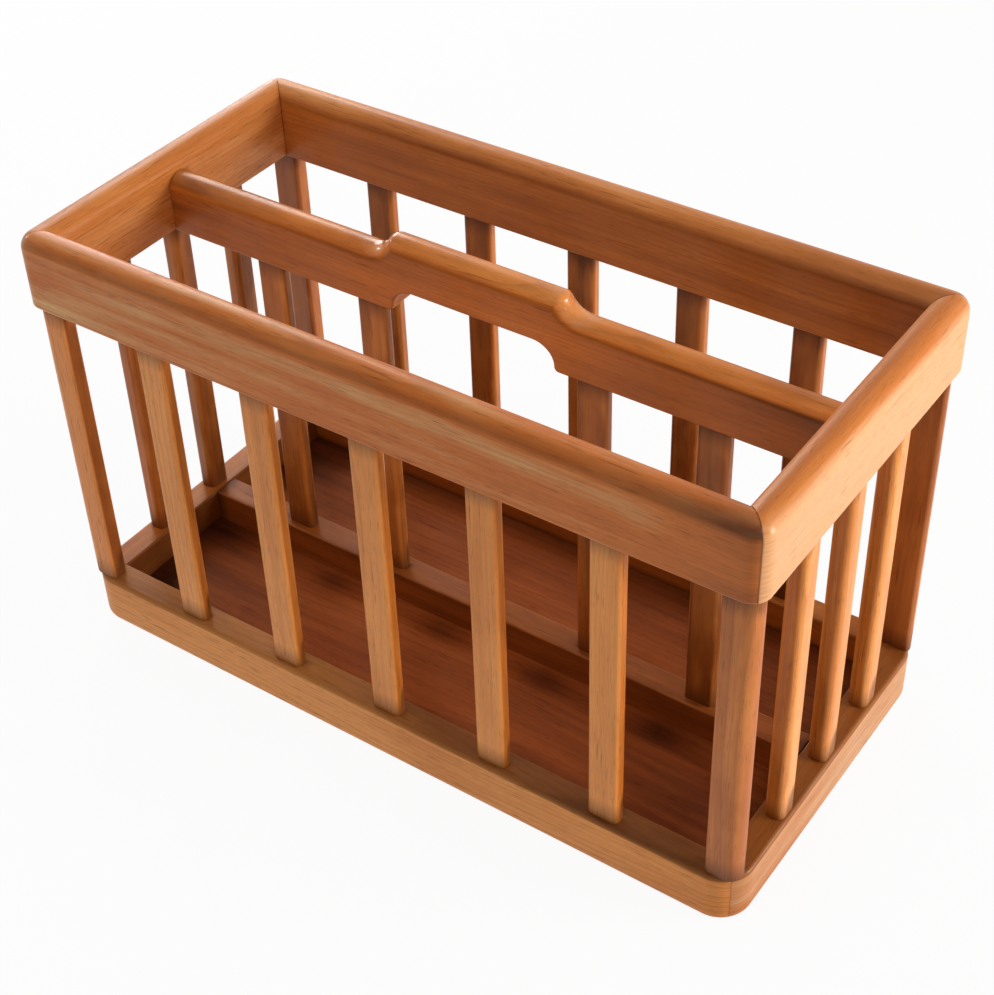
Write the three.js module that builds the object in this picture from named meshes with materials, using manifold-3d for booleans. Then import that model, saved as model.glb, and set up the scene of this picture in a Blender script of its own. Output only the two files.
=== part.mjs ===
// Magazine basket: a deep top frame carried on a low base frame by upright slats, with a floor panel
// and, down the middle, a divider board with a hand grip. Every joint is glued, so nothing moves.
// Millimetres. X runs along the basket, Y from front to back, Z up. The origin is on the surface that
// the basket stands on, under the middle of it.
import * as THREE from 'three';
import { mergeVertices } from 'three/addons/utils/BufferGeometryUtils.js';
import Module from 'manifold-3d';

const wasm = await Module();
wasm.setup();

// Whole basket
const LENGTH = 440;
const WIDTH = 214;
const HEIGHT = 265;

// Top frame: four mitred rails with a bullnosed upper edge
const TOP_RAIL_HEIGHT = 43;
const TOP_RAIL_THICKNESS = 18.4;
const TOP_RIDGE_FLAT = 0.8;
const TOP_LOWER_ARRIS = 1.2;
const TOP_CORNER_EASE = 1.2;

// Base frame: four mitred rails, set in a little from the top frame all round
const BASE_INSET = 1.65;
const BASE_RAIL_HEIGHT = 32.7;
const BASE_RAIL_WIDTH = 16.5;
const BASE_CORNER_RADIUS = 18;
const BASE_TOP_ARRIS = 2.5;
const BASE_FOOT_ROUNDING = 5;
const BASE_INNER_ARRIS = 1.2;

// Floor panel, loose in a groove of the base rails
const FLOOR_THICKNESS = 5.5;
const FLOOR_RISE = 6.7;
const GROOVE_DEPTH = 5;

// Uprights: slats on the long sides, narrower and thicker slats at the ends, posts near the corners
const SLAT_WIDTH = 18;
const SLAT_THICKNESS = 8.4;
const SLAT_ARRIS = 3;
const SLATS_PER_SIDE = 5;
const END_SLAT_WIDTH = 15;
const END_SLAT_THICKNESS = 11;
const END_SLAT_ARRIS = 4;
const SLATS_PER_END = 3;
const END_SLAT_PITCH = 47;
const POST_WIDTH = 18.5;
const POST_THICKNESS = 10.5;
const POST_ARRIS = 2.4;
const POST_OUTER_ROUNDING = 8;
const POST_INSET = 3.1;

// Stub tenons, and the play of every fitted joint
const TENON_LENGTH = 9;
const TENON_SHOULDER = 2;
const POST_OUTER_SHOULDER = 6.5;
const POST_FACE_SHOULDER = 2.85;
const JOINT_GAP = 0.3;

// Divider board with its raised middle and its hand grip
const DIVIDER_THICKNESS = 17;
const DIVIDER_RIDGE_FLAT = 0.6;
const DIVIDER_LOWER_ARRIS = 1.2;
const DIVIDER_END_DROP = 9.3;
const RAISED_LENGTH = 99;
const SHOULDER_CREST_EASE = 1.2;
const SHOULDER_COVE_RADIUS = 11;
const GRIP_LENGTH = 100;
const GRIP_HEIGHT = 14.5;
const GRIP_END_LENGTH = 13;
const GRIP_MOUTH_RADIUS = 3;
const DIVIDER_TENON_HEIGHT = 15;
const DIVIDER_TENON_THICKNESS = 7;
const DIVIDER_TENON_LENGTH = 7;
const DIVIDER_TENON_RISE = 14;
const DIVIDER_COLUMNS = [-2, -1, 1, 2];

// Divider sill, the middle rail of the base
const SILL_WIDTH = 16.5;
const SILL_TENON_HEIGHT = 6;
const SILL_TENON_THICKNESS = 8;
const SILL_TENON_LENGTH = 7;
const SILL_TENON_RISE = 2.6;

// How far a cutting shape runs past what it cuts, and how finely arcs are divided
const OVERRUN = 22;
const CORNER_SEGMENTS = 4;
const ARRIS_SEGMENTS = 2;
const EDGE_SEGMENTS = 2;
const BULLNOSE_SEGMENTS = 6;

// Places that follow from the sizes
const TOP_UNDERSIDE = HEIGHT - TOP_RAIL_HEIGHT;
const UPRIGHT_LENGTH = TOP_UNDERSIDE - BASE_RAIL_HEIGHT;
const BASE_LENGTH = LENGTH - 2 * BASE_INSET;
const BASE_WIDTH = WIDTH - 2 * BASE_INSET;
const LINE_X = (LENGTH - TOP_RAIL_THICKNESS) / 2;
const LINE_Y = (WIDTH - TOP_RAIL_THICKNESS) / 2;
const POST_X = (LENGTH - POST_WIDTH) / 2 - POST_INSET;
const COLUMN_PITCH = 2 * POST_X / (SLATS_PER_SIDE + 1);
const FLOOR_TOP = FLOOR_RISE + FLOOR_THICKNESS;
const SILL_HEIGHT = BASE_RAIL_HEIGHT - FLOOR_TOP;
const TOP_BULLNOSE = (TOP_RAIL_THICKNESS - TOP_RIDGE_FLAT) / 2;
const DIVIDER_BULLNOSE = (DIVIDER_THICKNESS - DIVIDER_RIDGE_FLAT) / 2;
const SHOULDER_CREST_RADIUS = DIVIDER_BULLNOSE + SHOULDER_CREST_EASE;

const COLOURS = { rail: 0xb5763f, post: 0xaa6838, slat: 0xb97943, divider: 0x96572d, floor: 0x74401f };

// A closed geometry as a solid that can be cut and joined
function solid(geometry) {
  geometry.deleteAttribute('normal');
  geometry.deleteAttribute('uv');
  const merged = mergeVertices(geometry);
  return new wasm.Manifold(new wasm.Mesh({
    numProp: 3,
    vertProperties: merged.getAttribute('position').array,
    triVerts: Uint32Array.from(merged.getIndex().array),
  }));
}

function piece(name, body, colour, roughness = 0.45) {
  const faces = body.getMesh();
  const geometry = new THREE.BufferGeometry();
  geometry.setAttribute('position', new THREE.BufferAttribute(faces.vertProperties, 3));
  geometry.setIndex(new THREE.BufferAttribute(faces.triVerts, 1));
  const material = new THREE.MeshStandardMaterial({ color: colour, roughness, flatShading: true });
  const mesh = new THREE.Mesh(geometry, material);
  mesh.name = name;
  return mesh;
}

// A box given by its middle in plan, its lower face and its sizes along X, Y and Z
function box(x, y, bottom, width, depth, height) {
  return solid(new THREE.BoxGeometry(width, depth, height).translate(x, y, bottom + height / 2));
}

// A rectangle about the origin with one rounding for each corner, from the lower left one round
function roundedRectangle(width, depth, radii) {
  const x = width / 2;
  const y = depth / 2;
  const [lowerLeft, lowerRight, upperRight, upperLeft] = radii;
  const shape = new THREE.Shape();
  shape.absarc(-x + lowerLeft, -y + lowerLeft, lowerLeft, Math.PI, 1.5 * Math.PI);
  shape.absarc(x - lowerRight, -y + lowerRight, lowerRight, -0.5 * Math.PI, 0);
  shape.absarc(x - upperRight, y - upperRight, upperRight, 0, 0.5 * Math.PI);
  shape.absarc(-x + upperLeft, y - upperLeft, upperLeft, 0.5 * Math.PI, Math.PI);
  shape.closePath();
  return shape;
}

// A shape raised from bottom to top, with both ends rounded over by the same radius
function roundedPrism(shape, bottom, top, radius, bevelSegments) {
  const geometry = new THREE.ExtrudeGeometry(shape, {
    depth: top - bottom - 2 * radius,
    bevelThickness: radius,
    bevelSize: radius,
    bevelOffset: -radius,
    bevelSegments,
    curveSegments: CORNER_SEGMENTS,
  });
  return solid(geometry.translate(0, 0, bottom + radius));
}

function prism(shape, height, curveSegments = 1) {
  return new THREE.ExtrudeGeometry(shape, { depth: height, bevelEnabled: false, curveSegments });
}

// Outer body of a frame: a rounded rectangle whose lower and upper edges have their own roundings
function frameBody({ length, width, height, cornerRadius, lowerRounding, upperRounding, upperSegments }) {
  const outline = roundedRectangle(length, width, Array(4).fill(cornerRadius));
  const lower = roundedPrism(outline, 0, height + OVERRUN, lowerRounding, EDGE_SEGMENTS);
  const upper = roundedPrism(outline, -OVERRUN, height, upperRounding, upperSegments);
  return lower.intersect(upper);
}

// The inner side of a straight rail: its section beyond the outer face is left to the frame's body
function railSection(run, { thickness, height, innerLowerRounding, innerUpperRounding, upperSegments }) {
  const low = innerLowerRounding;
  const high = innerUpperRounding;
  const shape = new THREE.Shape();
  shape.moveTo(-OVERRUN, -OVERRUN);
  shape.lineTo(thickness - low, -OVERRUN);
  shape.absarc(thickness - low, low, low, -0.5 * Math.PI, 0);
  shape.absarc(thickness - high, height - high, high, 0, 0.5 * Math.PI);
  shape.lineTo(thickness - high, height + OVERRUN);
  shape.lineTo(-OVERRUN, height + OVERRUN);
  shape.closePath();
  const long = run + 2 * OVERRUN;
  const geometry = prism(shape, long, upperSegments / 2);
  return geometry.translate(0, 0, -long / 2).rotateX(Math.PI / 2).rotateZ(Math.PI / 2);
}

// Plan of a rail mitred at both ends, with half of the glue line taken off each mitre
function mitredPlan(run, { thickness, height }) {
  const setback = JOINT_GAP * Math.SQRT1_2;
  const outer = run / 2 + OVERRUN - setback;
  const inner = run / 2 - thickness - OVERRUN - setback;
  const shape = new THREE.Shape();
  shape.moveTo(-outer, -OVERRUN);
  shape.lineTo(outer, -OVERRUN);
  shape.lineTo(inner, thickness + OVERRUN);
  shape.lineTo(-inner, thickness + OVERRUN);
  shape.closePath();
  return prism(shape, height + 2 * OVERRUN).translate(0, 0, -OVERRUN);
}

// One rail of a frame. Its outer face is half of across away from the middle, and turn says on which side
function frameRail(frame, body, run, across, turn) {
  const place = (geometry) => solid(geometry.translate(0, -across / 2, 0).rotateZ(turn));
  return place(railSection(run, frame)).intersect(place(mitredPlan(run, frame))).intersect(body);
}

// Section of the three kinds of upright, about its own middle, and of the tenon at both ends of it
function slatKind() {
  return {
    outline: roundedRectangle(SLAT_WIDTH, SLAT_THICKNESS, Array(4).fill(SLAT_ARRIS)),
    tenon: {
      x: 0,
      y: 0,
      width: SLAT_WIDTH - 2 * TENON_SHOULDER,
      depth: SLAT_THICKNESS - 2 * TENON_SHOULDER,
    },
  };
}

function endSlatKind() {
  return {
    outline: roundedRectangle(END_SLAT_THICKNESS, END_SLAT_WIDTH, Array(4).fill(END_SLAT_ARRIS)),
    tenon: {
      x: 0,
      y: 0,
      width: END_SLAT_THICKNESS - 2 * TENON_SHOULDER,
      depth: END_SLAT_WIDTH - 2 * TENON_SHOULDER,
    },
  };
}

// A post's corner on the outside of the basket has the large rounding, and its tenon keeps clear of it
function postKind(sideX, sideY) {
  const outer = POST_OUTER_ROUNDING;
  const radii = [[-1, -1], [1, -1], [1, 1], [-1, 1]].map(([x, y]) => {
    return x === sideX && y === sideY ? outer : POST_ARRIS;
  });
  return {
    outline: roundedRectangle(POST_WIDTH, POST_THICKNESS, radii),
    tenon: {
      x: -sideX * (POST_OUTER_SHOULDER - TENON_SHOULDER) / 2,
      y: 0,
      width: POST_WIDTH - TENON_SHOULDER - POST_OUTER_SHOULDER,
      depth: POST_THICKNESS - 2 * POST_FACE_SHOULDER,
    },
  };
}

// Every upright by name, with its place in plan and the frame members that its tenons enter
function uprights() {
  const list = [];
  const slat = slatKind();
  const endSlat = endSlatKind();
  const middle = (SLATS_PER_SIDE + 1) / 2;
  for (let column = 1; column <= SLATS_PER_SIDE; column += 1) {
    const x = (column - middle) * COLUMN_PITCH;
    list.push({ name: `front_slat_${column}`, x, y: -LINE_Y, kind: slat, colour: COLOURS.slat });
    list.push({ name: `back_slat_${column}`, x, y: LINE_Y, kind: slat, colour: COLOURS.slat });
  }
  for (let row = 1; row <= SLATS_PER_END; row += 1) {
    const y = (row - (SLATS_PER_END + 1) / 2) * END_SLAT_PITCH;
    list.push({ name: `left_slat_${row}`, x: -LINE_X, y, kind: endSlat, colour: COLOURS.slat });
    list.push({ name: `right_slat_${row}`, x: LINE_X, y, kind: endSlat, colour: COLOURS.slat });
  }
  for (const [sideY, end] of [[-1, 'front'], [1, 'back']]) {
    for (const [sideX, hand] of [[-1, 'left'], [1, 'right']]) {
      const kind = postKind(sideX, sideY);
      const name = `corner_post_${end}_${hand}`;
      list.push({ name, x: sideX * POST_X, y: sideY * LINE_Y, kind, colour: COLOURS.post });
    }
  }
  return list;
}

function dividerUprights() {
  return DIVIDER_COLUMNS.map((column, index) => ({
    name: `divider_slat_${index + 1}`,
    x: column * COLUMN_PITCH,
    y: 0,
    kind: slatKind(),
    colour: COLOURS.slat,
  }));
}

// An upright stands on its lower shoulder, and its tenon runs on past both shoulders
function uprightMesh({ name, x, y, kind, colour }) {
  const shaft = solid(prism(kind.outline, UPRIGHT_LENGTH, ARRIS_SEGMENTS));
  const { tenon } = kind;
  const coreLength = UPRIGHT_LENGTH + 2 * TENON_LENGTH;
  const core = box(tenon.x, tenon.y, -TENON_LENGTH, tenon.width, tenon.depth, coreLength);
  const mesh = piece(name, shaft.add(core), colour);
  mesh.position.set(x, y, BASE_RAIL_HEIGHT);
  return mesh;
}

// Mortises for the tenons of the uprights, sunk from the level mouth upwards or downwards
function cutMortises(body, list, mouth, upwards) {
  const depth = TENON_LENGTH + JOINT_GAP;
  const bottom = upwards ? mouth - OVERRUN : mouth - depth;
  let result = body;
  for (const { x, y, kind: { tenon } } of list) {
    const width = tenon.width + 2 * JOINT_GAP;
    const across = tenon.depth + 2 * JOINT_GAP;
    result = result.subtract(box(x + tenon.x, y + tenon.y, bottom, width, across, depth + OVERRUN));
  }
  return result;
}

// The four rails of a frame, each finished by the cuts that the frame needs
function frameMeshes(frame, prefix, finish) {
  const body = frameBody(frame);
  const sides = [
    ['front', frame.length, frame.width, 0],
    ['right', frame.width, frame.length, Math.PI / 2],
    ['back', frame.length, frame.width, Math.PI],
    ['left', frame.width, frame.length, -Math.PI / 2],
  ];
  const group = new THREE.Group();
  for (const [side, run, across, turn] of sides) {
    const rail = finish(frameRail(frame, body, run, across, turn));
    group.add(piece(`${prefix}_${side}`, rail, COLOURS.rail));
  }
  return group;
}

// Sockets for the end tenons of the divider board and of the sill, through both end rails at once
function endSockets(reach, bottom, length, thickness, height) {
  const span = 2 * (reach + length + JOINT_GAP);
  return box(0, 0, bottom - JOINT_GAP, span, thickness + 2 * JOINT_GAP, height + 2 * JOINT_GAP);
}

function topFrame() {
  const frame = {
    length: LENGTH,
    width: WIDTH,
    height: TOP_RAIL_HEIGHT,
    thickness: TOP_RAIL_THICKNESS,
    cornerRadius: TOP_BULLNOSE + TOP_CORNER_EASE,
    lowerRounding: TOP_LOWER_ARRIS,
    upperRounding: TOP_BULLNOSE,
    innerLowerRounding: TOP_LOWER_ARRIS,
    innerUpperRounding: TOP_BULLNOSE,
    upperSegments: BULLNOSE_SEGMENTS,
  };
  const reach = LENGTH / 2 - TOP_RAIL_THICKNESS;
  const sockets = endSockets(reach, DIVIDER_TENON_RISE, DIVIDER_TENON_LENGTH,
    DIVIDER_TENON_THICKNESS, DIVIDER_TENON_HEIGHT);
  const group = frameMeshes(frame, 'top_rail', (rail) => {
    return cutMortises(rail, uprights(), 0, true).subtract(sockets);
  });
  group.position.z = TOP_UNDERSIDE;
  return group;
}

function baseFrame() {
  const frame = {
    length: BASE_LENGTH,
    width: BASE_WIDTH,
    height: BASE_RAIL_HEIGHT,
    thickness: BASE_RAIL_WIDTH,
    cornerRadius: BASE_CORNER_RADIUS,
    lowerRounding: BASE_FOOT_ROUNDING,
    upperRounding: BASE_TOP_ARRIS,
    innerLowerRounding: BASE_INNER_ARRIS,
    innerUpperRounding: BASE_INNER_ARRIS,
    upperSegments: EDGE_SEGMENTS,
  };
  const reach = BASE_LENGTH / 2 - BASE_RAIL_WIDTH;
  const sockets = endSockets(reach, FLOOR_TOP + SILL_TENON_RISE, SILL_TENON_LENGTH,
    SILL_TENON_THICKNESS, SILL_TENON_HEIGHT);
  const groove = box(0, 0, FLOOR_RISE, BASE_LENGTH - 2 * (BASE_RAIL_WIDTH - GROOVE_DEPTH),
    BASE_WIDTH - 2 * (BASE_RAIL_WIDTH - GROOVE_DEPTH), FLOOR_THICKNESS + JOINT_GAP);
  return frameMeshes(frame, 'base_rail', (rail) => {
    return cutMortises(rail, uprights(), BASE_RAIL_HEIGHT, false).subtract(sockets).subtract(groove);
  });
}

// The floor lies on the lower cheek of the groove, with play at its edges
function floorPanel() {
  const edge = BASE_RAIL_WIDTH - GROOVE_DEPTH + JOINT_GAP;
  const geometry = new THREE.BoxGeometry(BASE_LENGTH - 2 * edge, BASE_WIDTH - 2 * edge, FLOOR_THICKNESS);
  const mesh = piece('floor_panel', solid(geometry), COLOURS.floor, 0.5);
  mesh.position.z = FLOOR_RISE + FLOOR_THICKNESS / 2;
  return mesh;
}

// Upper outline of the divider board, seen from the front: level ends, a cove and a crest up to the
// raised middle on each side. It runs past both ends and far below the board.
function dividerCrown(reach) {
  const end = TOP_RAIL_HEIGHT - DIVIDER_END_DROP;
  const radii = SHOULDER_CREST_RADIUS + SHOULDER_COVE_RADIUS;
  const lean = Math.acos(1 - DIVIDER_END_DROP / radii);
  const crest = RAISED_LENGTH / 2;
  const cove = crest + radii * Math.sin(lean);
  const up = 0.5 * Math.PI;
  const shape = new THREE.Shape();
  shape.moveTo(-reach - OVERRUN, -OVERRUN);
  shape.lineTo(reach + OVERRUN, -OVERRUN);
  shape.lineTo(reach + OVERRUN, end);
  shape.absarc(cove, end + SHOULDER_COVE_RADIUS, SHOULDER_COVE_RADIUS, -up, -up - lean, true);
  shape.absarc(crest, TOP_RAIL_HEIGHT - SHOULDER_CREST_RADIUS, SHOULDER_CREST_RADIUS, up - lean, up);
  shape.absarc(-crest, TOP_RAIL_HEIGHT - SHOULDER_CREST_RADIUS, SHOULDER_CREST_RADIUS, up, up + lean);
  shape.absarc(-cove, end + SHOULDER_COVE_RADIUS, SHOULDER_COVE_RADIUS, -up + lean, -up, true);
  shape.lineTo(-reach - OVERRUN, end);
  shape.closePath();
  return shape;
}

// Lower outline of the board: level, with the arched hand grip in the middle. It runs past the ends
// and far above the board.
function dividerSole(reach) {
  const mouth = GRIP_LENGTH / 2;
  const ease = GRIP_MOUTH_RADIUS;
  const end = GRIP_END_LENGTH;
  const shape = new THREE.Shape();
  shape.moveTo(-reach - OVERRUN, 0);
  shape.lineTo(-mouth - ease, 0);
  shape.absarc(-mouth - ease, ease, ease, -0.5 * Math.PI, 0);
  shape.absellipse(-mouth + end, ease, end, GRIP_HEIGHT - ease, Math.PI, 0.5 * Math.PI, true);
  shape.absellipse(mouth - end, ease, end, GRIP_HEIGHT - ease, 0.5 * Math.PI, 0, true);
  shape.absarc(mouth + ease, ease, ease, Math.PI, 1.5 * Math.PI);
  shape.lineTo(reach + OVERRUN, 0);
  shape.lineTo(reach + OVERRUN, TOP_RAIL_HEIGHT + OVERRUN);
  shape.lineTo(-reach - OVERRUN, TOP_RAIL_HEIGHT + OVERRUN);
  shape.closePath();
  return shape;
}

function dividerBoard() {
  const reach = LENGTH / 2 - TOP_RAIL_THICKNESS - JOINT_GAP;
  const half = DIVIDER_THICKNESS / 2;
  const crown = roundedPrism(dividerCrown(reach), -half, half, DIVIDER_BULLNOSE, BULLNOSE_SEGMENTS);
  const sole = roundedPrism(dividerSole(reach), -half, half, DIVIDER_LOWER_ARRIS, EDGE_SEGMENTS);
  const upright = crown.intersect(sole).rotate([90, 0, 0]);
  const ends = box(0, 0, -OVERRUN, 2 * reach, DIVIDER_THICKNESS + OVERRUN, TOP_RAIL_HEIGHT + 2 * OVERRUN);
  const tenons = box(0, 0, DIVIDER_TENON_RISE, 2 * (reach + DIVIDER_TENON_LENGTH), DIVIDER_TENON_THICKNESS,
    DIVIDER_TENON_HEIGHT);
  const board = cutMortises(upright.intersect(ends).add(tenons), dividerUprights(), 0, true);
  const mesh = piece('divider_board', board, COLOURS.divider);
  mesh.position.z = TOP_UNDERSIDE;
  return mesh;
}

// The sill stands on the floor, level with the top of the base rails
function dividerSill() {
  const reach = BASE_LENGTH / 2 - BASE_RAIL_WIDTH - JOINT_GAP;
  const arrises = [0, 0, BASE_INNER_ARRIS, BASE_INNER_ARRIS];
  const section = roundedRectangle(SILL_WIDTH, SILL_HEIGHT, arrises);
  const bar = prism(section, 2 * reach, ARRIS_SEGMENTS).translate(0, SILL_HEIGHT / 2, -reach);
  const body = solid(bar.rotateX(Math.PI / 2).rotateZ(Math.PI / 2));
  const tenons = box(0, 0, SILL_TENON_RISE, 2 * (reach + SILL_TENON_LENGTH), SILL_TENON_THICKNESS,
    SILL_TENON_HEIGHT);
  const sill = cutMortises(body.add(tenons), dividerUprights(), SILL_HEIGHT, false);
  const mesh = piece('divider_sill', sill, COLOURS.divider, 0.5);
  mesh.position.z = FLOOR_TOP;
  return mesh;
}

const basket = new THREE.Group();
basket.name = 'magazine_basket';
basket.add(topFrame());
basket.add(baseFrame());
basket.add(floorPanel());
basket.add(dividerBoard());
basket.add(dividerSill());
for (const upright of [...uprights(), ...dividerUprights()]) {
  basket.add(uprightMesh(upright));
}

export default basket;
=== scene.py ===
import math
import random
from collections import namedtuple

import bmesh
import bpy
from mathutils import Matrix, Vector, kdtree, noise


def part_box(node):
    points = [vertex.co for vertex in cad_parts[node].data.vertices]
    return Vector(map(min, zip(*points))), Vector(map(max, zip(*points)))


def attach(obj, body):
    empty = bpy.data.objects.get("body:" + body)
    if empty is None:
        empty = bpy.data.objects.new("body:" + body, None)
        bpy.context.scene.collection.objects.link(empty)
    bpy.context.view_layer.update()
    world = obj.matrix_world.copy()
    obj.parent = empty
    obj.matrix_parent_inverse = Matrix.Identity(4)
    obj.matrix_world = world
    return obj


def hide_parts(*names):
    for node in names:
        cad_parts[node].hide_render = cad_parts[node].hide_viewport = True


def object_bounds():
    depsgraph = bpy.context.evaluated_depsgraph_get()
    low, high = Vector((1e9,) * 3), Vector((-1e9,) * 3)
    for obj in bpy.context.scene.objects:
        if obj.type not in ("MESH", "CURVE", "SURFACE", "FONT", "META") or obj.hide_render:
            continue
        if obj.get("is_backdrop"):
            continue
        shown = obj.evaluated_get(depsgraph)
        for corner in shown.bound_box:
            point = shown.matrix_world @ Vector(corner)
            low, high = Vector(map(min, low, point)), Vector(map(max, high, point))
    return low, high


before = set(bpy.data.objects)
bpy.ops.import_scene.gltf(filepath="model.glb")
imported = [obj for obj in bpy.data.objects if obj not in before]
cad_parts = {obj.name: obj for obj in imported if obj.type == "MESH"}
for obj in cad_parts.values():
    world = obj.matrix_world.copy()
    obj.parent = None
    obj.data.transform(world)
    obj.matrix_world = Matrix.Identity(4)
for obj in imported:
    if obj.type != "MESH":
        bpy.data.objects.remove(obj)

cad_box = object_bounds()


# Base frame. Four hardwood rails lie flat on the ground, mitred and glued at the corners. The outer
# corners and the foot edge are sanded round, the upper edges are only eased, and a groove inside
# takes the edge of the floor panel. The whole basket is rubbed with oil to a satin finish.

MM = 0.001
BASE_CORNER_RADIUS = 18 * MM
BASE_FOOT_ROUNDING = 5 * MM
BASE_TOP_ARRIS = 2.5 * MM
BASE_INNER_ARRIS = 1.2 * MM
GROOVE_DEPTH = 5 * MM
JOINT_GAP = 0.3 * MM
MITRE_GAP = 0.06 * MM
MITRE_RELIEF = 0.22 * MM
NEAR_MITRE = (1 * MM, 3 * MM)
RAIL_UNEVENNESS = 0.07 * MM
STATION_SPACING = 8 * MM
FLAT_STEPS = 4
CORNER_STEPS = 9
CORNER_WORN_LENGTH = 22 * MM
MOST_WORN = 1.6
MERGE_DISTANCE = 0.002 * MM
SHARP_ANGLE = math.radians(28)
HEART_DISTANCE = (0.05, 0.11)
RING_PITCH = 2.7 * MM
HEART_SWAY = (0, 0.034, 0.034)
HEART_RIPPLE = (0, 0.0036, 0.0036)
TREE_TAPER = (0.025, 1, 1)
PORE_DEPTH = 0.05 * MM
OIL_IOR = 1.46
OIL_TINT = (1, 0.78, 0.5, 1)

base_half_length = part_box("base_rail_right")[1].x
base_half_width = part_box("base_rail_back")[1].y
base_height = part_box("base_rail_front")[1].z
base_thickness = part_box("base_rail_front")[1].y + base_half_width


class Signal:
    """The output of a node. Plain sums of it with numbers and other outputs add Math nodes."""

    def __init__(self, graph, socket):
        self.graph = graph
        self.socket = socket

    def __add__(self, other):
        return self.graph.maths("ADD", self, other)

    def __sub__(self, other):
        return self.graph.maths("SUBTRACT", self, other)

    def __rsub__(self, other):
        return self.graph.maths("SUBTRACT", other, self)

    def __mul__(self, other):
        return self.graph.maths("MULTIPLY", self, other)

    def __truediv__(self, other):
        return self.graph.maths("DIVIDE", self, other)

    def __pow__(self, other):
        return self.graph.maths("POWER", self, other)

    __radd__ = __add__
    __rmul__ = __mul__

    def between(self, low, high):
        """0 below low, 1 above high, and a smooth rise from one to the other."""
        inputs = {"Value": self, "From Min": low, "From Max": high}
        return self.graph.add("ShaderNodeMapRange", {"interpolation_type": "SMOOTHSTEP"}, inputs)


class Graph:
    """Adds nodes to a material or a geometry tree, with their settings and sockets' values."""

    def __init__(self, tree):
        self.tree = tree

    def add(self, kind, settings=None, inputs=None, output=0):
        node = self.tree.nodes.new(kind)
        for name, value in (settings or {}).items():
            if name == "stops":
                self.set_stops(node.color_ramp, value)
            else:
                setattr(node, name, value)
        by_name = {socket.identifier: socket for socket in node.inputs}
        for name, value in (inputs or {}).items():
            self.feed(node.inputs[name] if isinstance(name, int) else by_name[name], value)
        if not node.outputs:
            return None
        if isinstance(output, int):
            return Signal(self, node.outputs[output])
        return Signal(self, {socket.identifier: socket for socket in node.outputs}[output])

    def feed(self, socket, value):
        if isinstance(value, Signal):
            self.tree.links.new(value.socket, socket)
        else:
            socket.default_value = value

    def set_stops(self, ramp, stops):
        ramp.elements[0].position, ramp.elements[0].color = stops[0]
        ramp.elements[1].position, ramp.elements[1].color = stops[-1]
        for position, colour in stops[1:-1]:
            ramp.elements.new(position).color = colour

    def maths(self, operation, *operands):
        return self.add("ShaderNodeMath", {"operation": operation}, dict(enumerate(operands)))

    def vector(self, operation, *operands, output=0):
        settings = {"operation": operation}
        return self.add("ShaderNodeVectorMath", settings, dict(enumerate(operands)), output)

    def equals(self, first, second):
        """1 where two whole numbers are the same, and 0 elsewhere."""
        settings = {"data_type": "INT", "operation": "EQUAL"}
        return self.add("FunctionNodeCompare", settings, {"A_INT": first, "B_INT": second})

    def noise(self, place, stretch, detail=2, roughness=0.5, output="Fac"):
        """Noise with features of 1 / stretch metres along each direction of place."""
        inputs = {
            "Vector": self.vector("MULTIPLY", place, stretch),
            "Scale": 1,
            "Detail": detail,
            "Roughness": roughness,
        }
        return self.add("ShaderNodeTexNoise", None, inputs, output)

    def blend(self, share, first, second):
        inputs = {"Factor_Float": share, "A_Color": first, "B_Color": second}
        return self.add("ShaderNodeMix", {"data_type": "RGBA"}, inputs, "Result_Color")

    def attribute(self, name, output="Fac"):
        return self.add("ShaderNodeAttribute", {"attribute_name": name}, output=output)

    def parts(self, vector):
        """The three numbers of a vector."""
        node = self.add("ShaderNodeSeparateXYZ", None, {0: vector}).socket.node
        return [Signal(self, socket) for socket in node.outputs]

    def store(self, geometry, name, value, kind="FLOAT", domain="POINT"):
        """Keeps a value under a name on each point, or on each copy, of a geometry."""
        settings = {"data_type": kind, "domain": domain}
        inputs = {"Geometry": geometry, "Name": name, "Value": value}
        return self.add("GeometryNodeStoreNamedAttribute", settings, inputs)


def emptied_graph(owner):
    """The nodes of a material or a world, with none in them yet."""
    owner.use_nodes = True
    owner.node_tree.nodes.clear()
    return Graph(owner.node_tree)


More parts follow.
